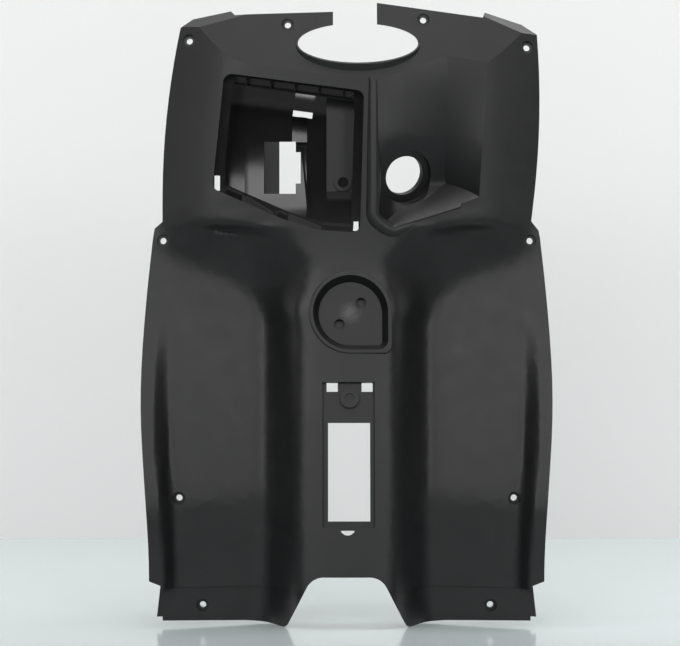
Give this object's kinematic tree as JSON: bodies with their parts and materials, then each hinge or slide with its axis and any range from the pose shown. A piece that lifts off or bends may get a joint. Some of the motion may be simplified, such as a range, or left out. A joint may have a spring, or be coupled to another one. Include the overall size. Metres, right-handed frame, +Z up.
{
  "type": "scooter leg shield",
  "caption": "Moulded scooter leg shield with a glove box, key switch pocket, raised central tunnel, leg recesses, number window and screw bosses.",
  "frame": {"origin": "midway between the seats of the two middle screws", "axes": "+X to the right as seen by the rider, +Y away from the rider, +Z up"},
  "size_m": [0.394, 0.1441, 0.5997],
  "materials": {
    "black_plastic": "fine-textured moulded black"
  },
  "bodies": {
    "root": {"leg_shield": "black_plastic"}
  },
  "joints": []
}
